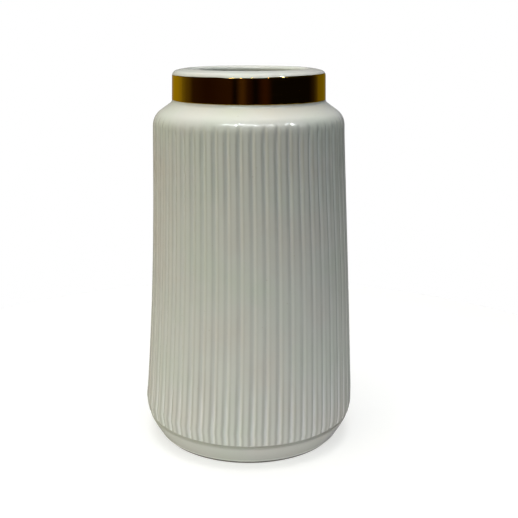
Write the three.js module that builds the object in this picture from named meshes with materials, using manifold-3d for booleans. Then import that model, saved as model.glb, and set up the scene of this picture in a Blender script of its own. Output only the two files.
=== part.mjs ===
// A ribbed porcelain vase with a gold-lustred collar.
// The vase is one slip-cast, glazed body. The lustre is a separate ring of gold laid round its collar.
// Millimetres, +Z up. The origin is the centre of the resting plane, on the axis of the vase.
// The front of the vase faces -Y, and a groove between two ribs lies on that line.

import * as THREE from "three";
import { mergeVertices } from "three/addons/utils/BufferGeometryUtils.js";
import Module from "manifold-3d";

const wasm = await Module();
wasm.setup();

// Driving dimensions. Radii run from the axis, and heights from the resting plane.
const HEIGHT = 250;

// The foot ring, and the recessed underside inside it.
const FOOT_OUTER_RADIUS = 61.5;
const FOOT_INNER_RADIUS = 56;
const FOOT_INNER_SLOPE = 1.5;
const FOOT_RECESS = 2.5;
const FOOT_STEP = 2;

// The plain band round the base, which leans in towards the foot.
const BASE_BAND_BOTTOM_RADIUS = 62.9;
const BASE_BAND_EDGE = 1.1;
const BASE_BAND_TOP_RADIUS = 70.15;
const BASE_BAND_TOP = 15.2;

// The ribbed wall, measured over the crowns of the ribs. It flares from the shoulder down to the belly.
const RIB_END_RADIUS = 69.45;
const RIB_END = 16.1;
const RIB_NOSE_RADIUS = 71.5;
const RIB_NOSE = 18.2;
const BELLY_RADIUS = 72.35;
const BELLY_HEIGHT = 26;
const WALL_HOLLOW = -0.8;

// The shoulder: a round, then a straight slope up to the collar.
const SHOULDER_RADIUS = 62.9;
const SHOULDER_HEIGHT = 213.8;
const SHOULDER_BULGE = 1.26;
const SHOULDER_SLOPE_RADIUS = 58.1;
const SHOULDER_SLOPE_HEIGHT = 223.2;
const COLLAR_FILLET_RADIUS = 51.4;
const COLLAR_FILLET_HEIGHT = 228;
const COLLAR_RADIUS = 50.2;
const COLLAR_FOOT = 230.3;
const COLLAR_TOP_RADIUS = 49.8;

// The lip, which turns in over the mouth.
const LIP_CORNER_HEIGHT = 245.8;
const LIP_CORNER_BULGE = 0.69;
const LIP_TOP_RADIUS = 46.9;
const LIP_TOP_HEIGHT = 248.9;
const LIP_CREST_RADIUS = 40.4;
const LIP_EDGE_HEIGHT = 247.6;
const LIP_UNDERSIDE = 245.2;
const LIP_EDGE_ROUND = 0.7;
const MOUTH_RADIUS = 38;

// The thickness of the casting.
const WALL = 5;
const FLOOR_THICKNESS = 6;
const FLOOR_CORNER = 14;
const FLOOR_CORNER_BULGE = 4.6;
const INSIDE_SHOULDER_DROP = 4;
const INSIDE_SHOULDER_BULGE = 0.9;
const INSIDE_LIP_FILLET = 2.4;

const RIB_COUNT = 52;
const RIB_DEPTH = 1;
const RIB_FADE_FROM = 208;
const RIB_FADE_TO = 219;

// One rib's section, in steps along its pitch: how far along, and the share of the groove's depth cut there.
const RIB_SECTION = [
  { along: 0, cut: 1 },
  { along: 0.21, cut: 0 },
  { along: 0.79, cut: 0 },
];

// The fired gold round the collar.
const LUSTRE_THICKNESS = 0.7;
const LUSTRE_CLEARANCE = 0.3;
const LUSTRE_BOTTOM = 230.9;
const LUSTRE_TOP = 245.5;

const RIBBED_SEGMENTS = RIB_COUNT * RIB_SECTION.length;
const PLAIN_SEGMENTS = 78;
const INSIDE_SEGMENTS = 52;
const WELD_DISTANCE = 1e-4;

// An outline in the half plane of radius and height, made of straight runs and circular bows.
class Outline {
  constructor(radius, height) {
    this.points = [new THREE.Vector2(radius, height)];
  }

  line(radius, height) {
    this.points.push(new THREE.Vector2(radius, height));
    return this;
  }

  // A circular arc to a new point. It stands off the chord by bulge, to the right of the way it runs.
  bow(radius, height, bulge, steps) {
    const start = this.points.at(-1);
    const end = new THREE.Vector2(radius, height);
    const chord = end.clone().sub(start);
    const half = chord.length() / 2;
    const arcRadius = (half * half + bulge * bulge) / (2 * bulge);
    const outward = new THREE.Vector2(chord.y, -chord.x).normalize();
    const middle = start.clone().add(end).multiplyScalar(0.5);
    const centre = middle.clone().addScaledVector(outward, bulge - arcRadius);
    const spread = Math.asin(half / Math.abs(arcRadius));
    const along = chord.clone().normalize();
    for (let step = 1; step < steps; step += 1) {
      const angle = spread * ((2 * step) / steps - 1);
      const point = centre.clone();
      point.addScaledVector(outward, Math.cos(angle) * arcRadius);
      point.addScaledVector(along, Math.sin(angle) * Math.abs(arcRadius));
      this.points.push(point);
    }
    this.points.push(end);
    return this;
  }
}

// The outside of the vase, from the middle of its underside up to the middle of its mouth.
function outsideOutline() {
  const edgeRadius = BASE_BAND_BOTTOM_RADIUS + BASE_BAND_EDGE;
  const edgeHeight = FOOT_STEP + BASE_BAND_EDGE;
  const seatDepth = LUSTRE_THICKNESS + LUSTRE_CLEARANCE;
  return new Outline(0, FOOT_RECESS)
    .line(FOOT_INNER_RADIUS - FOOT_INNER_SLOPE, FOOT_RECESS)
    .line(FOOT_INNER_RADIUS, 0)
    .line(FOOT_OUTER_RADIUS, 0)
    .line(FOOT_OUTER_RADIUS, FOOT_STEP)
    .line(BASE_BAND_BOTTOM_RADIUS, FOOT_STEP)
    .line(edgeRadius, edgeHeight)
    .line(BASE_BAND_TOP_RADIUS, BASE_BAND_TOP)
    .line(RIB_END_RADIUS, RIB_END)
    .line(RIB_NOSE_RADIUS, RIB_NOSE)
    .line(BELLY_RADIUS, BELLY_HEIGHT)
    .bow(SHOULDER_RADIUS, SHOULDER_HEIGHT, WALL_HOLLOW, 4)
    .bow(SHOULDER_SLOPE_RADIUS, SHOULDER_SLOPE_HEIGHT, SHOULDER_BULGE, 3)
    .line(COLLAR_FILLET_RADIUS, COLLAR_FILLET_HEIGHT)
    .line(COLLAR_RADIUS, COLLAR_FOOT)
    .line(COLLAR_RADIUS, LUSTRE_BOTTOM - LUSTRE_CLEARANCE)
    .line(COLLAR_RADIUS - seatDepth, LUSTRE_BOTTOM - LUSTRE_CLEARANCE)
    .line(COLLAR_TOP_RADIUS - seatDepth, LUSTRE_TOP + LUSTRE_CLEARANCE)
    .line(COLLAR_TOP_RADIUS, LIP_CORNER_HEIGHT)
    .bow(LIP_TOP_RADIUS, LIP_TOP_HEIGHT, LIP_CORNER_BULGE, 2)
    .line(LIP_CREST_RADIUS, HEIGHT)
    .line(0, HEIGHT).points;
}

// The hollow, from the middle of its floor up through the mouth. The lip turns in over it all round.
function insideOutline() {
  const bellyRadius = BELLY_RADIUS - WALL - RIB_DEPTH / 2;
  const shoulderRadius = SHOULDER_RADIUS - WALL - RIB_DEPTH / 2;
  const neckRadius = COLLAR_RADIUS - WALL;
  const floor = FOOT_RECESS + FLOOR_THICKNESS;
  const shoulderTop = SHOULDER_SLOPE_HEIGHT - INSIDE_SHOULDER_DROP;
  return new Outline(0, floor)
    .line(bellyRadius - FLOOR_CORNER, floor)
    .bow(bellyRadius, BELLY_HEIGHT, FLOOR_CORNER_BULGE, 3)
    .bow(shoulderRadius, SHOULDER_HEIGHT - INSIDE_SHOULDER_DROP, WALL_HOLLOW, 3)
    .bow(shoulderRadius - INSIDE_SHOULDER_DROP, shoulderTop, INSIDE_SHOULDER_BULGE, 2)
    .line(neckRadius, COLLAR_FOOT - INSIDE_SHOULDER_DROP)
    .line(neckRadius, LIP_UNDERSIDE - INSIDE_LIP_FILLET)
    .line(neckRadius - INSIDE_LIP_FILLET, LIP_UNDERSIDE - LIP_EDGE_ROUND)
    .line(LIP_CREST_RADIUS, LIP_UNDERSIDE)
    .bow(MOUTH_RADIUS, LIP_EDGE_HEIGHT, -LIP_EDGE_ROUND, 2)
    .bow(LIP_CREST_RADIUS, HEIGHT, -LIP_EDGE_ROUND, 2)
    .line(LIP_CREST_RADIUS, HEIGHT + WALL)
    .line(0, HEIGHT + WALL).points;
}

// A surface of revolution about +Z.
function revolve(points, segments) {
  const geometry = new THREE.LatheGeometry(points, segments);
  geometry.rotateX(Math.PI / 2);
  return geometry;
}

// How much of their full depth the grooves have at a height: none below the ribs, and fading out at the shoulder.
function grooveStrength(height) {
  if (height <= RIB_END) return 0;
  if (height < RIB_NOSE) return (height - RIB_END) / (RIB_NOSE - RIB_END);
  return 1 - THREE.MathUtils.smoothstep(height, RIB_FADE_FROM, RIB_FADE_TO);
}

// Turns the even steps of a revolved surface into the ribs' section, and sinks the grooves between them.
function carveRibs(geometry) {
  const position = geometry.getAttribute("position");
  const steps = RIB_SECTION.length;
  const pitch = (2 * Math.PI) / RIB_COUNT;
  const front = -Math.PI / 2;
  for (let i = 0; i < position.count; i += 1) {
    const radius = Math.hypot(position.getX(i), position.getY(i));
    const turn = Math.atan2(position.getY(i), position.getX(i)) - front;
    const step = Math.round((turn / pitch) * steps);
    const rib = Math.floor(step / steps);
    const section = RIB_SECTION[step - rib * steps];
    const angle = front + (rib + section.along) * pitch;
    const height = position.getZ(i);
    const grooved = radius - section.cut * RIB_DEPTH * grooveStrength(height);
    position.setXYZ(i, grooved * Math.cos(angle), grooved * Math.sin(angle), height);
  }
}

// A closed solid from a geometry whose surface is closed.
function solidOf(geometry) {
  geometry.deleteAttribute("normal");
  geometry.deleteAttribute("uv");
  const merged = mergeVertices(geometry, WELD_DISTANCE);
  const mesh = new wasm.Mesh({
    numProp: 3,
    vertProperties: merged.getAttribute("position").array,
    triVerts: new Uint32Array(merged.index.array),
  });
  return new wasm.Manifold(mesh);
}

function geometryOf(solid) {
  const mesh = solid.getMesh();
  const geometry = new THREE.BufferGeometry();
  geometry.setAttribute("position", new THREE.BufferAttribute(mesh.vertProperties, 3));
  geometry.setIndex(new THREE.BufferAttribute(mesh.triVerts, 1));
  geometry.computeVertexNormals();
  return geometry;
}

function makeMesh(name, geometry, material) {
  const mesh = new THREE.Mesh(geometry, material);
  mesh.name = name;
  return mesh;
}

// The cast porcelain: foot ring, plain base band, ribbed wall, shoulder, collar and inturned lip.
function makeBody() {
  const outside = revolve(outsideOutline(), RIBBED_SEGMENTS);
  carveRibs(outside);
  const inside = revolve(insideOutline(), INSIDE_SEGMENTS);
  const shell = solidOf(outside).subtract(solidOf(inside));
  const glaze = new THREE.MeshStandardMaterial({ color: 0xefeee8, roughness: 0.12, metalness: 0 });
  return makeMesh("vase_body", geometryOf(shell), glaze);
}

// The ring of fired gold, in its shallow seat round the collar.
function makeLustreBand() {
  const ring = new Outline(COLLAR_RADIUS - LUSTRE_THICKNESS, LUSTRE_BOTTOM)
    .line(COLLAR_RADIUS, LUSTRE_BOTTOM)
    .line(COLLAR_TOP_RADIUS, LUSTRE_TOP)
    .line(COLLAR_TOP_RADIUS - LUSTRE_THICKNESS, LUSTRE_TOP)
    .line(COLLAR_RADIUS - LUSTRE_THICKNESS, LUSTRE_BOTTOM).points;
  const gold = new THREE.MeshStandardMaterial({ color: 0x9c7a24, roughness: 0.1, metalness: 1 });
  return makeMesh("gold_lustre_band", revolve(ring, PLAIN_SEGMENTS), gold);
}

const vase = new THREE.Group();
vase.add(makeBody());
vase.add(makeLustreBand());

export default vase;
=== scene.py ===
import math
import random

import bpy
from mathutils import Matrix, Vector, noise


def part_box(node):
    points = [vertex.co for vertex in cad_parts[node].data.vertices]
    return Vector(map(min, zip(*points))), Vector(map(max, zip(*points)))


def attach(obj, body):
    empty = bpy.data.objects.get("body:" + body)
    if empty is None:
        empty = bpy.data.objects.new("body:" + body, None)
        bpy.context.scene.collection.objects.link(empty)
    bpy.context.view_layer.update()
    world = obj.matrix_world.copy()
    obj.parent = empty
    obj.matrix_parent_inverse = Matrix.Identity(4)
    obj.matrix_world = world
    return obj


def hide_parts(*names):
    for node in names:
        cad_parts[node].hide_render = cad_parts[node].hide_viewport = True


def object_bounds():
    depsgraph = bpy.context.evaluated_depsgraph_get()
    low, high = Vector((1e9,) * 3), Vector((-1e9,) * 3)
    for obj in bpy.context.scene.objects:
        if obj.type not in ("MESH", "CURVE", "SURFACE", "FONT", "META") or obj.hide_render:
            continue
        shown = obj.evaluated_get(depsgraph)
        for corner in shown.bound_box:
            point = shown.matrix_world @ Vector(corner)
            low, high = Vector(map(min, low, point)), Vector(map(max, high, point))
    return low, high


# The finished look of a ribbed porcelain vase: its glazed body, and the gold lustre round its
# collar. The front of the vase faces -Y, and its right side +X.
# The vase's own sizes are in millimetres, and turn into metres when the meshes are made.
# The room, the lamps and the camera are in metres.

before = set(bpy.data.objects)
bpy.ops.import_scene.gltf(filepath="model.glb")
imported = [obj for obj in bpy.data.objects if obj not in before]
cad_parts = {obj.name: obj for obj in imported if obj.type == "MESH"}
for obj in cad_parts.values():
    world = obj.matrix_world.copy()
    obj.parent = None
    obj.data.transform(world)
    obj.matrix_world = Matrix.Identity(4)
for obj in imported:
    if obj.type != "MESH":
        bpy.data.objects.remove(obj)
cad_low, cad_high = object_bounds()

MM = 0.001
FRONT = -math.pi / 2


# ---------------------------------------------------------------- sizes of the vase, millimetres

# From the CAD model. The belly keeps clear of the CAD's box by a hair.
BELLY_ROOM = 0.02
HEIGHT = (cad_high.z - cad_low.z) / MM
BELLY_RADIUS = (cad_high.x - cad_low.x) / 2 / MM - BELLY_ROOM
BAND_LOW, BAND_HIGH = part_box("gold_lustre_band")
COLLAR_RADIUS = (BAND_HIGH.x - BAND_LOW.x) / 2 / MM

# The foot ring, the recess under the floor, and the step from the ring out to the base band.
FOOT_OUTER_RADIUS = 61.5
FOOT_INNER_RADIUS = 56.0
FOOT_RECESS = 2.5
RECESS_CORNER = 4.0
FOOT_EDGE = 0.5
FOOT_INNER_EDGE = 0.6
FOOT_FLARE = 0.1
FOOT_STEP = 2.0
STEP_CORNER_WIDTH = 0.5
STEP_CORNER_DROP = 0.3

# The plain base band, and the narrow ledge from which the ribs rise.
BASE_EDGE_RADIUS = 62.9
BASE_EDGE_ROUND = 0.2
BASE_BAND_RADIUS = 63.9
BASE_BAND_BOTTOM = 3.1
BASE_BAND_TOP_RADIUS = 70.15
BASE_BAND_TOP = 14.2
RIB_END_RADIUS = 69.45
RIB_END = 16.1

# The wall, the shoulder and the collar.
RIB_NOSE_RADIUS = 71.45
RIB_NOSE = 18.2
BELLY_HEIGHT = 26.0
SHOULDER_RADIUS = 62.9
SHOULDER_HEIGHT = 213.8
SLOPE_RADIUS = 58.1
SLOPE_HEIGHT = 223.2
FILLET_RADIUS = 51.4
FILLET_HEIGHT = 228.0
COLLAR_FOOT = 230.3
COLLAR_TAPER = 0.4
COLLAR_TOP_RADIUS = COLLAR_RADIUS - COLLAR_TAPER

# The lip.
LIP_CORNER_HEIGHT = 245.8
LIP_CORNER_BULGE = 0.69
LIP_TOP_RADIUS = 46.9
LIP_TOP_HEIGHT = 248.9
LIP_CREST_RADIUS = 40.4
LIP_EDGE_HEIGHT = 247.6
LIP_UNDERSIDE = 245.2
MOUTH_RADIUS = 38.0

# The inside. Each drop is how far a place lies below the place outside that it is behind.
WALL = 5.0
FLOOR = 8.5
FLOOR_CORNER = 14.0
UNDERSIDE_DROP = 0.7
NECK_CORNER_WIDTH = 2.4
NECK_CORNER_DROP = 3.2
NECK_END_DROP = 3.0
NECK_TURN_WIDTH = 1.2
NECK_TURN_DROP = 5.4
SLOPE_INSIDE_WIDTH = 4.5
SLOPE_INSIDE_DROP = 4.0
SHOULDER_INSIDE_DROP = 3.0

# The grooves between the ribs. A phase is a share of the pitch, from the middle of a groove.
RIB_COUNT = 52
HALF_PITCH = 0.5
GROOVE_DEPTH = 0.85
GROOVE_WIDTH = 0.165
RIM = 0.26
DISH = 0.08
RIB_FADE = (208.5, 222.0)

# They are deeper near both ends by this share of their depth, which fades out between the first
# two heights and comes back between the other two.
ENDS_DEEPER = 0.62
LOWER_END = (25.0, 90.0)
UPPER_END = (150.0, 205.0)

# How they differ from one another, as shares of the pitch and of the depth.
SHIFT = 0.012
SPREAD = 0.12
DRIFT = 0.3
DRIFT_SIZE = 24.0
DRIFT_APART = 7.3
TOP_RIGHT_DEEPER = 0.6
TOP_RIGHT_FADE = (110.0, 200.0)
MIDDLE_FRONT_SHALLOWER = 0.3
MIDDLE_RIGHT_SHALLOWER = 0.3
MIDDLE_HEIGHT = 115.0
MIDDLE_SPAN = 40.0

# The thickness of the glaze, with painted light and painted shade in it, from -1 where the glaze
# is drawn thin or shade is painted, to 1 where it has run together or light is painted. The pools
# lighten the groove bottoms, partly as painted light against the grooves' shade, and the thin
# rims darken, partly as painted shade. The ledge and the base band are darker as painted shade,
# and the inside is whiter as painted light.
POOL_AND_LIGHT_WIDTH = 0.13
POOL_AND_LIGHT_ALOFT = 0.2
POOL_AND_LIGHT_TOP = 70.0
RIM_AND_SHADE_WIDTH = 0.08
RIM_AND_SHADE_ALOFT = 0.55
LEDGE_MIDDLE = 15.2
LEDGE_WIDTH = 1.5
LEDGE_PAINTED_SHADE = 0.8
BAND_PAINTED_SHADE = 0.5
BAND_FOOT_DARKER = 0.7
BAND_TOP_FADE = 0.8
BAND_FOOT_FADE = (BASE_BAND_BOTTOM - 0.5, 4.0)
# Whiter glaze inside and under the floor: painted light.
INSIDE_PAINTED_LIGHT = 0.9

# The slow unevenness of the cast surface, and the bow of the wall between two heights.
WAVER_MM = 0.07
WAVER_SIZE = 28.0
WARP = 1.05
WARP_FROM = 12.0
WARP_TO = 205.0
WARP_ROOM = 0.8

# How many columns of faces each rib's pitch has: ribbed, plain, and near the axis, inside the
# hub's radius. They crowd into the groove, where 1 would be not at all.
RIB_COLUMNS = 16
PLAIN_COLUMNS = 4
HUB_COLUMNS = 1
HUB_RADIUS = 12.0
HUB_EDGE = 2.0
GROOVE_CROWDING = 0.62

# The film of gold lustre. Its top edge tilts, wavers and dips where the brush's stroke laps,
# which is in degrees from the front. The more waves, the more often an edge wavers.
FILM_COLUMNS = 312
FILM_LIFT = 0.04
FILM_EDGE_LIFT = 0.2
FILM_EDGE = 0.03
FILM_DEPTH = 0.12
FILM_BACK = 0.5
FILM_BOTTOM = 230.35
FILM_TOP = 246.7
FILM_TILT = 0.55
FILM_WAVER = 0.12
FILM_TOP_WAVES = (2.1, 6.0)
FILM_BOTTOM_WAVES = 3.0
FILM_BOTTOM_APART = Vector((9.0, 0.0, 0.0))
FILM_LAP = 0.42
FILM_LAP_START = (-26.0, -14.0)
FILM_LAP_END = (9.0, 14.0)
FILM_ROWS = (0.0, 0.03, 0.08, 0.2, 0.35, 0.5, 0.65, 0.8, 0.9, 0.95, 0.98, 1.0)


# ---------------------------------------------------------------- outline

class Outline:
    """A run of (radius, height, part) points, made of straight lines and circular bows."""

    def __init__(self, radius, height, part):
        self.points = [(radius, height, part)]

    def line(self, radius, height, part, steps=1):
        start_radius, start_height, _ = self.points[-1]
        for step in range(1, steps + 1):
            share = step / steps
            self.points.append((
                start_radius + (radius - start_radius) * share,
                start_height + (height - start_height) * share,
                part,
            ))

    def bow(self, radius, height, part, bulge, steps):
        """A circular arc that stands off its chord by bulge, to the right of the way it runs."""
        start = Vector(self.points[-1][:2])
        end = Vector((radius, height))
        chord = end - start
        half = chord.length / 2
        arc_radius = (half * half + bulge * bulge) / (2 * bulge)
        along = chord.normalized()
        outward = Vector((along.y, -along.x))
        centre = (start + end) / 2 + outward * (bulge - arc_radius)
        spread = math.asin(half / abs(arc_radius))
        for step in range(1, steps + 1):
            angle = spread * (2 * step / steps - 1)
            point = centre + outward * (math.cos(angle) * arc_radius)
            point += along * (math.sin(angle) * abs(arc_radius))
            self.points.append((point.x, point.y, part))


def foot_and_base(run):
    """From the recess under the floor, over the foot ring, and up the plain base band."""
    run.line(FOOT_INNER_RADIUS - RECESS_CORNER, FOOT_RECESS, "under", steps=12)
    run.bow(FOOT_INNER_RADIUS - FOOT_INNER_EDGE, FOOT_EDGE, "under", bulge=-0.55, steps=6)
    run.bow(FOOT_INNER_RADIUS, 0.0, "foot", bulge=0.12, steps=3)
    run.line(FOOT_OUTER_RADIUS - FOOT_EDGE, 0.0, "foot", steps=4)
    run.bow(FOOT_OUTER_RADIUS, FOOT_EDGE, "foot", bulge=0.14, steps=4)
    run.line(FOOT_OUTER_RADIUS + FOOT_FLARE, FOOT_STEP - STEP_CORNER_DROP, "foot", steps=2)
    run.bow(FOOT_OUTER_RADIUS + STEP_CORNER_WIDTH, FOOT_STEP, "base", bulge=-0.08, steps=3)
    run.line(BASE_EDGE_RADIUS - BASE_EDGE_ROUND, FOOT_STEP, "base", steps=2)
    run.bow(BASE_BAND_RADIUS, BASE_BAND_BOTTOM, "base", bulge=0.4, steps=8)
    run.bow(BASE_BAND_TOP_RADIUS, BASE_BAND_TOP, "base", bulge=0.3, steps=14)
    run.bow(RIB_END_RADIUS, RIB_END, "base", bulge=0.14, steps=5)


def wall_and_lip(run):
    """Up the ribbed wall, over the shoulder, up the collar and over the lip."""
    run.bow(RIB_NOSE_RADIUS, RIB_NOSE, "ribs", bulge=0.62, steps=8)
    run.bow(BELLY_RADIUS, BELLY_HEIGHT, "ribs", bulge=0.25, steps=8)
    run.bow(SHOULDER_RADIUS, SHOULDER_HEIGHT, "ribs", bulge=-0.8, steps=36)
    run.bow(SLOPE_RADIUS, SLOPE_HEIGHT, "ribs", bulge=1.26, steps=12)
    run.line(FILLET_RADIUS, FILLET_HEIGHT, "plain", steps=6)
    run.bow(COLLAR_RADIUS, COLLAR_FOOT, "plain", bulge=-0.32, steps=6)
    run.line(COLLAR_TOP_RADIUS, LIP_CORNER_HEIGHT, "plain", steps=12)
    run.bow(LIP_TOP_RADIUS, LIP_TOP_HEIGHT, "plain", bulge=LIP_CORNER_BULGE, steps=10)
    run.bow(LIP_CREST_RADIUS, HEIGHT, "plain", bulge=0.16, steps=8)
    run.bow(MOUTH_RADIUS, LIP_EDGE_HEIGHT, "plain", bulge=0.7, steps=8)


def inside(run):
    """Down the inside, from the mouth's edge to the middle of the floor."""
    neck = COLLAR_RADIUS - WALL
    belly = BELLY_RADIUS - WALL - GROOVE_DEPTH / 2
    shoulder = SHOULDER_RADIUS - WALL - GROOVE_DEPTH / 2
    run.bow(LIP_CREST_RADIUS, LIP_UNDERSIDE, "inside", bulge=0.7, steps=8)
    run.line(neck - NECK_CORNER_WIDTH, LIP_UNDERSIDE - UNDERSIDE_DROP, "inside", steps=2)
    run.bow(neck, LIP_UNDERSIDE - NECK_CORNER_DROP, "inside", bulge=-0.8, steps=5)
    run.line(neck, COLLAR_FOOT - NECK_END_DROP, "inside", steps=6)
    run.bow(neck + NECK_TURN_WIDTH, COLLAR_FOOT - NECK_TURN_DROP, "inside", bulge=0.3, steps=4)
    run.line(shoulder - SLOPE_INSIDE_WIDTH, SLOPE_HEIGHT - SLOPE_INSIDE_DROP, "inside", steps=4)
    run.bow(shoulder, SHOULDER_HEIGHT - SHOULDER_INSIDE_DROP, "inside", bulge=-1.1, steps=8)
    run.bow(belly, BELLY_HEIGHT, "inside", bulge=0.8, steps=24)
    run.bow(belly - FLOOR_CORNER, FLOOR, "inside", bulge=-4.6, steps=12)
    run.line(HUB_EDGE, FLOOR, "inside", steps=12)


def body_outline():
    """The whole section of the vase, from under its floor round to the floor inside."""
    run = Outline(HUB_EDGE, FOOT_RECESS, "under")
    foot_and_base(run)
    wall_and_lip(run)
    inside(run)
    return run.points


# ---------------------------------------------------------------- ribs

random.seed(52)
RIB_SHIFT = [random.uniform(-SHIFT, SHIFT) for _ in range(RIB_COUNT)]
RIB_SHARE = [random.uniform(1.0 - SPREAD, 1.0 + SPREAD) for _ in range(RIB_COUNT)]


def smoothstep(low, high, value):
    share = min(1.0, max(0.0, (value - low) / (high - low)))
    return share * share * (3.0 - 2.0 * share)


def bell(distance, width):
    return math.exp(-((distance / width) ** 2))


def groove_strength(height):
    """How deep the grooves are at a height: they start square above the base band, and fade out
    at the shoulder. They are cut deeper near both ends than in the middle of the wall."""
    if height <= RIB_END:
        return 0.0
    start = math.sin(min(1.0, (height - RIB_END) / (RIB_NOSE - RIB_END)) * math.pi / 2)
    ends = 1.0 - smoothstep(*LOWER_END, height) + smoothstep(*UPPER_END, height)
    return start * (1.0 + ENDS_DEEPER * ends) * (1.0 - smoothstep(*RIB_FADE, height))


def groove_cut(phase):
    """The share of a groove's depth cut away at a phase. The crown between two grooves is very
    slightly dished, so that it has a soft rim on each side."""
    away = abs(phase)
    return bell(away, GROOVE_WIDTH) + DISH * smoothstep(RIM, HALF_PITCH, away)


def groove_share(number, height):
    """How one groove differs from the rest: a little deeper or shallower, and not quite evenly
    along its height. The grooves are also deeper high on the right of the vase. Halfway up they
    are shallower in front and on the right, and deeper at the back and on the left."""
    drift = noise.noise(Vector((number * DRIFT_APART, 0.0, height / DRIFT_SIZE)))
    turn = 2.0 * math.pi * number / RIB_COUNT
    high = smoothstep(*TOP_RIGHT_FADE, height) * TOP_RIGHT_DEEPER * max(0.0, math.sin(turn))
    middle = bell(height - MIDDLE_HEIGHT, MIDDLE_SPAN)
    middle *= MIDDLE_FRONT_SHALLOWER * math.cos(turn) + MIDDLE_RIGHT_SHALLOWER * math.sin(turn)
    return RIB_SHARE[number] * (1.0 + DRIFT * drift) * (1.0 + high - middle)


def glaze_and_painted_shading(phase, height, cut):
    """How thick the glaze is outside, with painted light and shade. It pools in the grooves, most
    of all at their foot, which lightens them partly as painted light against their shade. It
    draws thin on their rims, which darkens them partly as painted shade. The ledge under the ribs
    and the base band, most towards the foot, are darker as painted shade."""
    away = abs(phase)
    foot = 1.0 - smoothstep(RIB_END, POOL_AND_LIGHT_TOP, height)
    # Lighter groove bottoms: glaze that pools, and painted light against the grooves' shade.
    pool_and_light = bell(away, POOL_AND_LIGHT_WIDTH) * (POOL_AND_LIGHT_ALOFT + (1.0 - POOL_AND_LIGHT_ALOFT) * foot)
    # Darker groove rims: glaze drawn thin, and painted shade, more towards the foot and where
    # grooves are deeper.
    rim_and_shade = bell(away - RIM, RIM_AND_SHADE_WIDTH) * (RIM_AND_SHADE_ALOFT + (1.0 - RIM_AND_SHADE_ALOFT) * foot)
    # Painted shade on the ledge under the rib noses.
    ledge_shade = LEDGE_PAINTED_SHADE * bell(height - LEDGE_MIDDLE, LEDGE_WIDTH)
    # Painted shade over the base band, under the overhanging ribs, darker towards the foot.
    lower = smoothstep(RIB_END, BASE_BAND_BOTTOM, height)
    band = BAND_PAINTED_SHADE * (1.0 + BAND_FOOT_DARKER * lower)
    band *= smoothstep(RIB_END, RIB_END - BAND_TOP_FADE, height)
    band *= smoothstep(*BAND_FOOT_FADE, height)
    return max(-1.0, (pool_and_light - rim_and_shade) * cut - ledge_shade - band)


def rib_phases():
    """The phases of the columns along one pitch, from 0 to 1, closer together in the groove."""
    half = []
    for column in range(1, RIB_COLUMNS // 2):
        even = column / RIB_COLUMNS
        half.append(even * (GROOVE_CROWDING + 2.0 * (1.0 - GROOVE_CROWDING) * even))
    return [0.0] + half + [HALF_PITCH] + [1.0 - phase for phase in reversed(half)]


def column_angles(per_rib):
    """Each column's angle, its phase from the nearest groove, and that groove's number."""
    found = []
    pitch = 2.0 * math.pi / RIB_COUNT
    phases = rib_phases()[::RIB_COLUMNS // per_rib]
    for rib in range(RIB_COUNT):
        for phase in phases:
            nearest = phase <= HALF_PITCH
            signed = phase if nearest else phase - 1.0
            number = rib if nearest else (rib + 1) % RIB_COUNT
            shift = RIB_SHIFT[number] * (1.0 - 2.0 * abs(signed))
            found.append((FRONT + (rib + phase + shift) * pitch, signed, number))
    return found


def waver(radius, angle, height):
    """The slow unevenness of a cast and fired surface, in millimetres."""
    place = Vector((radius * math.cos(angle), radius * math.sin(angle), height))
    return WAVER_MM * noise.noise(place / WAVER_SIZE)


def warp(radius, height):
    """How far the wall has bowed towards +X in the kiln, in millimetres. It never passes the
    belly's widest place."""
    share = min(1.0, max(0.0, (height - WARP_FROM) / (WARP_TO - WARP_FROM)))
    return min(WARP * math.sin(share * math.pi), WARP_ROOM * max(0.0, BELLY_RADIUS - radius))


# ---------------------------------------------------------------- meshes

def make_object(name, vertices, faces, attribute=None, values=None):
    """A mesh object in the scene. A piece of the vase has an attribute, with a value for each
    vertex, and is smooth."""
    mesh = bpy.data.meshes.new(name)
    mesh.from_pydata(vertices, [], faces)
    mesh.validate()
    if attribute:
        mesh.attributes.new(attribute, "FLOAT", "POINT").data.foreach_set("value", values)
        for polygon in mesh.polygons:
            polygon.use_smooth = True
    made = bpy.data.objects.new(name, mesh)
    bpy.context.scene.collection.objects.link(made)
    return made


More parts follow.
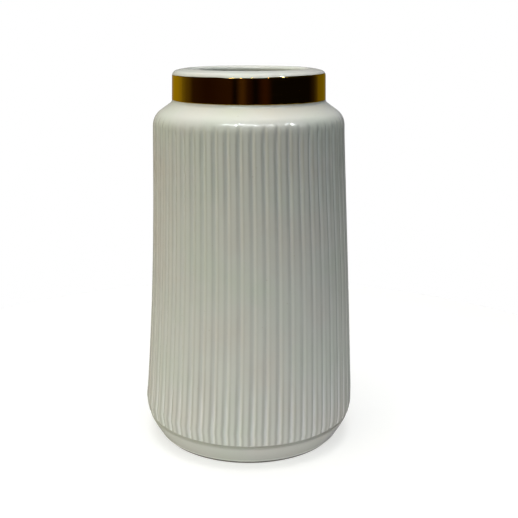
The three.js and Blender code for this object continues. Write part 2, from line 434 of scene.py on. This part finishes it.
class Skin:
    """Rings of vertices about +Z, joined into a surface. Neighbouring rings may differ in how
    many columns they have."""

    def __init__(self):
        self.vertices = []
        self.glaze_and_shading = []
        self.faces = []

    def ring(self, radius, height, per_rib, part):
        """A ring round the vase, with the grooves cut into it. Returns its vertices' numbers."""
        strength = groove_strength(height) if part == "ribs" else 0.0
        outside = part in ("base", "ribs", "plain")
        bowed = warp(radius, height)
        start = len(self.vertices)
        for angle, phase, number in column_angles(per_rib):
            cut = strength * groove_share(number, height)
            here = radius - groove_cut(phase) * cut * GROOVE_DEPTH
            # Inside and under the floor the glaze is whiter, as painted light.
            glaze_and_shading = INSIDE_PAINTED_LIGHT
            if outside:
                here += waver(here, angle, height) - WAVER_MM
                # Outside, the grooves, the ledge and the base band carry painted light and
                # painted shade.
                glaze_and_shading = glaze_and_painted_shading(phase, height, cut)
            across = here * math.cos(angle) + bowed
            self.vertices.append((across * MM, here * math.sin(angle) * MM, height * MM))
            self.glaze_and_shading.append(glaze_and_shading)
        return list(range(start, len(self.vertices)))

    def join(self, below, above):
        """Faces between two rings, the first of which comes first along the outline."""
        finer = max(len(below), len(above))
        below_step = finer // len(below)
        above_step = finer // len(above)
        span = max(below_step, above_step)
        for column in range(0, finer, span):
            low = [below[(column + k) // below_step % len(below)]
                   for k in range(0, span + 1, below_step)]
            high = [above[(column + k) // above_step % len(above)]
                    for k in range(0, span + 1, above_step)]
            if len(low) == len(high):
                self.faces.append((low[0], low[1], high[1], high[0]))
            elif len(low) > len(high):
                self.fan(low, high, False)
            else:
                self.fan(high, low, True)

    def fan(self, fine, coarse, flip):
        """Triangles between several vertices of a finer ring and two of a coarser one."""
        middle = len(fine) // 2
        for k in range(len(fine) - 1):
            self.triangle(fine[k], fine[k + 1], coarse[0] if k < middle else coarse[1], flip)
        self.triangle(fine[middle], coarse[1], coarse[0], flip)

    def cap(self, ring, height, flip):
        """Triangles from a ring to the axis."""
        centre = len(self.vertices)
        self.vertices.append((0.0, 0.0, height * MM))
        # The middles of both floors are whiter too, as painted light.
        self.glaze_and_shading.append(INSIDE_PAINTED_LIGHT)
        for column, corner in enumerate(ring):
            self.triangle(corner, ring[(column + 1) % len(ring)], centre, flip)

    def triangle(self, first, second, third, flip):
        self.faces.append((third, second, first) if flip else (first, second, third))


def make_body():
    """The porcelain: one closed surface, finely stepped where it is ribbed."""
    skin = Skin()
    rings = []
    for radius, height, part in body_outline():
        per_rib = RIB_COLUMNS if part == "ribs" else PLAIN_COLUMNS
        if radius < HUB_RADIUS:
            per_rib = HUB_COLUMNS
        rings.append(skin.ring(radius, height, per_rib, part))
    for below, above in zip(rings, rings[1:]):
        skin.join(below, above)
    skin.cap(rings[0], FOOT_RECESS, True)
    skin.cap(rings[-1], FLOOR, False)
    return make_object("porcelain_body", skin.vertices, skin.faces, "glaze_and_shading", skin.glaze_and_shading)


def collar_radius_at(height):
    """The radius of the collar's outside, or of the lip's corner above it, at a height."""
    share = (height - COLLAR_FOOT) / (LIP_CORNER_HEIGHT - COLLAR_FOOT)
    if share <= 1.0:
        return COLLAR_RADIUS + (COLLAR_TOP_RADIUS - COLLAR_RADIUS) * max(0.0, share)
    corner = Outline(COLLAR_TOP_RADIUS, LIP_CORNER_HEIGHT, "plain")
    corner.bow(LIP_TOP_RADIUS, LIP_TOP_HEIGHT, "plain", bulge=LIP_CORNER_BULGE, steps=24)
    for (r0, z0, _), (r1, z1, _) in zip(corner.points, corner.points[1:]):
        if z0 <= height <= z1:
            return r0 + (r1 - r0) * (height - z0) / (z1 - z0)
    return LIP_TOP_RADIUS


def brush_lap(turn):
    """Where the brush set off and came round again, its stroke sits lower. 1 is lowest."""
    degrees = (math.degrees(turn) + 180.0) % 360.0 - 180.0
    return smoothstep(*FILM_LAP_START, degrees) * (1.0 - smoothstep(*FILM_LAP_END, degrees))


def film_edges(angle):
    """The heights of the film's bottom and top edges at an angle, as a brush laid them. The top
    edge wavers in long waves and in short ones half as high. The bottom edge wavers less."""
    place = Vector((math.cos(angle), math.sin(angle), 0.0))
    long, short = (noise.noise(place * waves) for waves in FILM_TOP_WAVES)
    top = FILM_TOP + FILM_TILT * math.cos(angle) - FILM_LAP * brush_lap(angle - FRONT)
    top += FILM_WAVER * (long + 0.5 * short)
    low = noise.noise(place * FILM_BOTTOM_WAVES + FILM_BOTTOM_APART)
    return FILM_BOTTOM + 0.5 * FILM_WAVER * low, top


def make_band():
    """The gold lustre: a thin closed film on the collar, which tapers at its edges. Its attribute
    is how far a place is from the nearer edge, as a share of the film's height."""
    vertices, faces, from_edge = [], [], []
    rows = len(FILM_ROWS) * 2
    for column in range(FILM_COLUMNS):
        angle = FRONT + 2.0 * math.pi * column / FILM_COLUMNS
        bottom, top = film_edges(angle)
        section = []
        for share in FILM_ROWS:
            height = bottom + (top - bottom) * share
            radius = collar_radius_at(height)
            radius += waver(radius, angle, height) - WAVER_MM
            edge = min(share, 1.0 - share)
            ease = min(1.0, edge / FILM_EDGE)
            radius += FILM_LIFT * (FILM_EDGE_LIFT + (1.0 - FILM_EDGE_LIFT) * ease)
            section.append((radius, height, edge))
        section += [(radius - FILM_DEPTH, height, FILM_BACK)
                    for radius, height, _ in reversed(section)]
        for radius, height, edge in section:
            vertices.append((
                radius * math.cos(angle) * MM,
                radius * math.sin(angle) * MM,
                height * MM,
            ))
            from_edge.append(edge)
        here = column * rows
        following = (column + 1) % FILM_COLUMNS * rows
        for row in range(rows):
            after = (row + 1) % rows
            faces.append((here + row, following + row, following + after, here + after))
    return make_object("gold_lustre", vertices, faces, "from_edge", from_edge)


# ---------------------------------------------------------------- node trees

# The sockets of a colour Mix node.
MIX_FACTOR, MIX_FIRST, MIX_SECOND, MIX_RESULT = 0, 6, 7, 2


class Nodes:
    """A node tree, with short ways to add and link its nodes. What goes into a socket is either
    a plain value or a (node, output) pair."""

    def __init__(self, tree):
        self.tree = tree
        tree.nodes.clear()

    def add(self, kind, inputs=None, **settings):
        """A node, with its settings, and what goes into its sockets."""
        node = self.tree.nodes.new(kind)
        for name, value in settings.items():
            setattr(node, name, value)
        self.feed(node, inputs or {})
        return node

    def feed(self, node, inputs):
        for socket, value in inputs.items():
            if isinstance(value, tuple) and isinstance(value[0], bpy.types.Node):
                self.tree.links.new(value[0].outputs[value[1]], node.inputs[socket])
            else:
                node.inputs[socket].default_value = value

    def noise(self, scale, detail, roughness=0.5, stretch=(1.0, 1.0, 1.0)):
        """Noise in the piece's own coordinates. Scale is in waves per metre."""
        place = self.add("ShaderNodeTexCoord")
        mapping = self.add("ShaderNodeMapping", {"Scale": stretch, "Vector": (place, "Object")})
        pattern = self.add("ShaderNodeTexNoise", {
            "Scale": scale,
            "Detail": detail,
            "Roughness": roughness,
            "Vector": (mapping, "Vector"),
        })
        return pattern, "Fac"

    def ramp(self, source, stops, interpolation="LINEAR"):
        """A colour ramp. Each stop is a position and a red, green and blue."""
        node = self.add("ShaderNodeValToRGB", {"Fac": source})
        node.color_ramp.interpolation = interpolation
        elements = node.color_ramp.elements
        while len(elements) < len(stops):
            elements.new(0.5)
        for element, (position, colour) in zip(elements, stops):
            element.position = position
            element.color = (*colour, 1.0)
        return node, "Color"

    def mix(self, factor, first, second, blend_type="MIX"):
        node = self.add(
            "ShaderNodeMix",
            {MIX_FACTOR: factor, MIX_FIRST: first, MIX_SECOND: second},
            data_type="RGBA",
            blend_type=blend_type,
        )
        return node, MIX_RESULT

    def remap(self, source, start, end, becomes, **settings):
        """A value between start and end, mapped to between the two numbers that it becomes."""
        node = self.add("ShaderNodeMapRange", {
            "Value": source,
            "From Min": start,
            "From Max": end,
            "To Min": becomes[0],
            "To Max": becomes[1],
        }, **settings)
        return node, "Result"

    def bump(self, source, strength, distance, under=None):
        """Bumps as high as distance, in metres, on top of the bumps that are under them."""
        node = self.add("ShaderNodeBump", {
            "Strength": strength,
            "Distance": distance,
            "Height": source,
        })
        if under:
            self.feed(node, {"Normal": under})
        return node, "Normal"


def new_material(name, inputs):
    """A material with one shader. Returns the material, its nodes and the shader."""
    material = bpy.data.materials.new(name)
    material.use_nodes = True
    nodes = Nodes(material.node_tree)
    shader = nodes.add("ShaderNodeBsdfPrincipled", inputs)
    nodes.add("ShaderNodeOutputMaterial", {"Surface": (shader, "BSDF")})
    return material, nodes, shader


# ---------------------------------------------------------------- materials

def rgb(red, green, blue):
    return red, green, blue, 1.0


def porcelain_material():
    """White porcelain under a clear glaze, whiter where the glaze is thick and where light is
    painted, greyer where it is thin and where shade is painted. It has slow green and pink
    clouds, a few specks, and a fine and a broad unevenness."""
    material, n, shader = new_material("glazed_porcelain", {
        "Roughness": 0.22,
        "Specular IOR Level": 0.3,
        "Coat Weight": 0.6,
        "Coat Roughness": 0.05,
        "Coat IOR": 1.5,
    })
    glaze_and_shading = n.add("ShaderNodeAttribute", attribute_name="glaze_and_shading")
    # The glaze value becomes colour: painted light whitens the groove bottoms and the inside,
    # painted shade greys the groove rims, the ledge and the base band.
    tinted = n.ramp(n.remap((glaze_and_shading, "Fac"), -1.0, 1.0, (0.0, 1.0)), [
        (0.0, (0.530, 0.533, 0.495)),
        (0.5, (0.710, 0.720, 0.680)),
        (1.0, (0.830, 0.840, 0.820)),
    ])
    clouds = n.ramp(n.noise(scale=22.0, detail=3.0), [
        (0.28, (0.950, 1.000, 0.950)),
        (0.50, (1.000, 1.000, 1.000)),
        (0.72, (1.000, 0.958, 0.950)),
    ])
    clouded = n.mix(1.0, tinted, clouds, "MULTIPLY")
    place = n.add("ShaderNodeTexCoord")
    cells = n.add("ShaderNodeTexVoronoi", {"Scale": 95.0, "Vector": (place, "Object")})
    speck = n.remap((cells, "Distance"), 0.03, 0.05, (0.25, 0.0))
    colour = n.mix(speck, clouded, rgb(0.42, 0.37, 0.29))
    fine = n.bump(n.noise(scale=420.0, detail=2.0), strength=0.3, distance=0.00012)
    broad = n.bump(n.noise(scale=70.0, detail=2.0), strength=0.25, distance=0.0004, under=fine)
    n.feed(shader, {"Base Color": colour, "Normal": broad, "Coat Normal": broad})
    return material


def shaded_bisque_material():
    """The foot ring's bare porcelain, ground flat underneath, with darker stains. It is painted
    very dark, as painted shade in the gap under the base band.
    """
    material, n, shader = new_material("bare_porcelain_in_shade", {"Roughness": 0.82})
    grain = n.noise(scale=900.0, detail=4.0, roughness=0.7)
    # Very dark clay: painted shade for the ring in its gap under the base band.
    shaded_clay = n.mix(grain, rgb(0.15, 0.14, 0.125), rgb(0.22, 0.21, 0.19))
    # Darker patches: stains, and more painted shade.
    stain_and_shade = n.remap(n.noise(scale=60.0, detail=3.0), 0.45, 0.75, (0.0, 0.6))
    n.feed(shader, {
        "Base Color": n.mix(stain_and_shade, shaded_clay, rgb(0.10, 0.094, 0.085)),
        "Normal": n.bump(grain, strength=0.4, distance=0.0001),
    })
    return material


def lustre_material():
    """Fired gold lustre: a mirror, with faint brushing round the collar and a browner edge."""
    material, n, shader = new_material("gold_lustre", {
        "Metallic": 1.0,
        "Specular Tint": rgb(1.0, 0.78, 0.30),
    })
    clouds = n.noise(scale=34.0, detail=3.0)
    gold = n.mix(clouds, rgb(0.74, 0.46, 0.030), rgb(0.84, 0.54, 0.050))
    from_edge = n.add("ShaderNodeAttribute", attribute_name="from_edge")
    thin = n.remap((from_edge, "Fac"), 0.0, 0.035, (0.75, 0.0))
    brushed = n.noise(scale=40.0, detail=3.0, roughness=0.6, stretch=(1.0, 1.0, 40.0))
    n.feed(shader, {
        "Base Color": n.mix(thin, gold, rgb(0.20, 0.10, 0.045)),
        "Roughness": n.remap(brushed, 0.3, 0.7, (0.07, 0.13)),
        "Normal": n.bump(brushed, strength=0.12, distance=0.0001),
    })
    return material


# How far the bare faces reach past the foot ring's edges, and end below the step, millimetres.
BARE_INWARD = 0.8
BARE_OUTWARD = 0.3
BARE_BELOW = 0.1


def paint_body(piece):
    """Glaze everywhere but on the foot ring, which stands bare below the base band and is painted
    dark, as painted shade.
    """
    piece.data.materials.append(porcelain_material())
    piece.data.materials.append(shaded_bisque_material())
    for polygon in piece.data.polygons:
        radius = math.hypot(polygon.center.x, polygon.center.y) / MM
        low = polygon.center.z / MM < FOOT_STEP - BARE_BELOW
        ring = FOOT_INNER_RADIUS - BARE_INWARD < radius < FOOT_OUTER_RADIUS + BARE_OUTWARD
        # The bare ring takes the dark material: painted shade under the base band.
        polygon.material_index = 1 if low and ring else 0


# ---------------------------------------------------------------- floor and room, metres

FLOOR_RADIUS = 0.36
FLOOR_SIDES = 96
FLOOR_GLOW = 0.62
FLOOR_GAP = 0.0001

# The room by compass: how far round it is, from -1 at the back by way of the left to 0 in front,
# and by way of the right to 1 at the back again, and its colour there. Mostly the gold shows it.
ROOM_COLOURS = [
    (-1.00, (0.25, 0.25, 0.23)),
    (-0.86, (0.31, 0.29, 0.23)),
    (-0.74, (0.29, 0.26, 0.20)),
    (-0.68, (0.23, 0.20, 0.12)),
    (-0.64, (0.13, 0.11, 0.05)),
    (-0.58, (0.075, 0.055, 0.020)),
    (-0.50, (0.020, 0.009, 0.004)),
    (-0.36, (0.014, 0.005, 0.003)),
    (-0.16, (0.020, 0.008, 0.004)),
    (-0.12, (0.002, 0.001, 0.001)),
    (-0.060, (0.048, 0.024, 0.020)),
    (-0.01, (0.014, 0.005, 0.003)),
    (0.045, (0.002, 0.001, 0.001)),
    (0.125, (0.024, 0.008, 0.006)),
    (0.19, (0.003, 0.002, 0.001)),
    (0.54, (0.003, 0.002, 0.001)),
    (0.60, (0.016, 0.010, 0.006)),
    (0.65, (0.050, 0.038, 0.026)),
    (0.69, (0.145, 0.125, 0.100)),
    (0.76, (0.165, 0.160, 0.140)),
    (0.88, (0.20, 0.21, 0.23)),
    (1.00, (0.25, 0.25, 0.23)),
]
CEILING_COLOUR = rgb(0.02, 0.02, 0.0194)

# The walls turn into the ceiling between these heights of a direction, where 1 is straight up.
CEILING_FROM = 0.15
CEILING_TO = 0.75


def make_floor():
    """A pale disc that glows a little, as a light table does, so that the vase's shadow stays
    soft and faint. It lies a hair below the foot, and the vase doesn't mirror it."""
    turn = 2.0 * math.pi / FLOOR_SIDES
    ring = [(FLOOR_RADIUS * math.cos(turn * side), FLOOR_RADIUS * math.sin(turn * side), 0.0)
            for side in range(FLOOR_SIDES)]
    floor = make_object("floor", ring, [tuple(range(FLOOR_SIDES))])
    material, _, _ = new_material("pale_floor", {
        "Base Color": rgb(0.45, 0.45, 0.45),
        "Roughness": 0.9,
        "Emission Color": rgb(1.0, 1.0, 0.985),
        "Emission Strength": FLOOR_GLOW,
    })
    floor.data.materials.append(material)
    floor.location.z = -FLOOR_GAP
    floor.visible_glossy = False


def make_world():
    """A white background for the camera, and for everything else a dim room, brighter behind
    the vase and dark overhead."""
    world = bpy.data.worlds.new("studio")
    bpy.context.scene.world = world
    world.use_nodes = True
    n = Nodes(world.node_tree)
    place = n.add("ShaderNodeTexCoord")
    axes = n.add("ShaderNodeSeparateXYZ", {0: (place, "Generated")})
    towards_front = n.add("ShaderNodeMath", {0: (axes, "Y"), 1: -1.0}, operation="MULTIPLY")
    compass = n.add(
        "ShaderNodeMath", {0: (axes, "X"), 1: (towards_front, 0)}, operation="ARCTAN2")
    stops = [(position / 2 + 0.5, colour) for position, colour in ROOM_COLOURS]
    walls = n.ramp(n.remap((compass, 0), -math.pi, math.pi, (0.0, 1.0)), stops, "EASE")
    height = n.remap((axes, "Z"), CEILING_FROM, CEILING_TO, (0.0, 1.0),
                     interpolation_type="SMOOTHSTEP")
    room = n.add("ShaderNodeBackground", {"Color": n.mix(height, walls, CEILING_COLOUR)})
    backdrop = n.add("ShaderNodeBackground", {"Color": rgb(1.0, 1.0, 1.0)})
    path = n.add("ShaderNodeLightPath")
    seen = n.add("ShaderNodeMixShader", {
        0: (path, "Is Camera Ray"),
        1: (room, "Background"),
        2: (backdrop, "Background"),
    })
    n.add("ShaderNodeOutputWorld", {"Surface": (seen, "Shader")})


# ---------------------------------------------------------------- lamps and camera, metres

# Soft lamps: name, place, size, power and colour.
LAMPS = [
    ("top_soft", (-0.03, 0.0, 1.5), 0.9, 19.8, (1.0, 0.99, 0.98)),
    ("left_mid", (-1.1, -0.3, 0.6), 0.7, 2.2, (1.0, 0.96, 0.78)),
    ("left_front", (-0.8, -0.85, 0.6), 0.7, 2.5, (1.0, 0.90, 0.54)),
    ("front_top", (0.0, -1.0, 1.2), 0.7, 3.1, (0.72, 0.92, 1.0)),
]
LAMP_AIM = Vector((0.0, 0.0, 0.12))

# Small lamps that only glint in the glaze: how far each is turned to the right of the front, and
# lifted above the shoulder's level, both in degrees, and its power.
GLINTS = [
    (-34.0, 50.0, 8.0),
    (-18.0, 52.0, 13.0),
    (4.0, 51.0, 11.0),
    (31.0, 50.0, 7.0),
    (60.0, 44.0, 9.0),
]
GLINT_DISTANCE = 2.0
GLINT_LEVEL = 0.22
GLINT_SIZE = 0.11
GLINT_COLOUR = (0.95, 0.98, 1.0)

CAMERA_DISTANCE = 0.5715
CAMERA_HEIGHT = 0.275
CAMERA_PITCH = math.radians(15.0)
CAMERA_TURN = math.radians(1.8)
CAMERA_LENS = 59.9
CAMERA_SHIFT = 0.0197
SENSOR_WIDTH = 36.0


def make_lamp(name, place, size, power, colour, glint=False):
    """A square lamp aimed at the vase. A glint shows only in reflections, and lights nothing. Any
    other lamp only lights the vase, and shows in no reflection."""
    data = bpy.data.lights.new(name, "AREA")
    data.size = size
    data.energy = power
    data.color = colour
    lamp = bpy.data.objects.new(name, data)
    lamp.location = place
    lamp.rotation_euler = (LAMP_AIM - Vector(place)).to_track_quat("-Z", "Y").to_euler()
    lamp.visible_camera = False
    lamp.visible_glossy = glint
    lamp.visible_diffuse = not glint
    bpy.context.scene.collection.objects.link(lamp)


def make_lights():
    for lamp in LAMPS:
        make_lamp(*lamp)
    for number, (turn, lift, power) in enumerate(GLINTS):
        angle = FRONT + math.radians(turn)
        reach = GLINT_DISTANCE * math.cos(math.radians(lift))
        rise = GLINT_DISTANCE * math.sin(math.radians(lift))
        place = (reach * math.cos(angle), reach * math.sin(angle), GLINT_LEVEL + rise)
        make_lamp("glint_%d" % number, place, GLINT_SIZE, power, GLINT_COLOUR, glint=True)


def make_camera():
    data = bpy.data.cameras.new("camera")
    data.sensor_width = SENSOR_WIDTH
    data.lens = CAMERA_LENS
    data.shift_x = CAMERA_SHIFT
    camera = bpy.data.objects.new("camera", data)
    angle = FRONT - CAMERA_TURN
    camera.location = (
        CAMERA_DISTANCE * math.cos(angle),
        CAMERA_DISTANCE * math.sin(angle),
        CAMERA_HEIGHT,
    )
    camera.rotation_euler = (math.pi / 2 - CAMERA_PITCH, 0.0, -CAMERA_TURN)
    bpy.context.scene.collection.objects.link(camera)
    bpy.context.scene.camera = camera


# ---------------------------------------------------------------- the scene

body = make_body()
paint_body(body)
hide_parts("vase_body")
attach(body, "root")

band = make_band()
band.data.materials.append(lustre_material())
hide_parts("gold_lustre_band")
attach(band, "root")

make_floor()
make_world()
make_lights()
make_camera()
bpy.context.scene.view_settings.view_transform = "Standard"
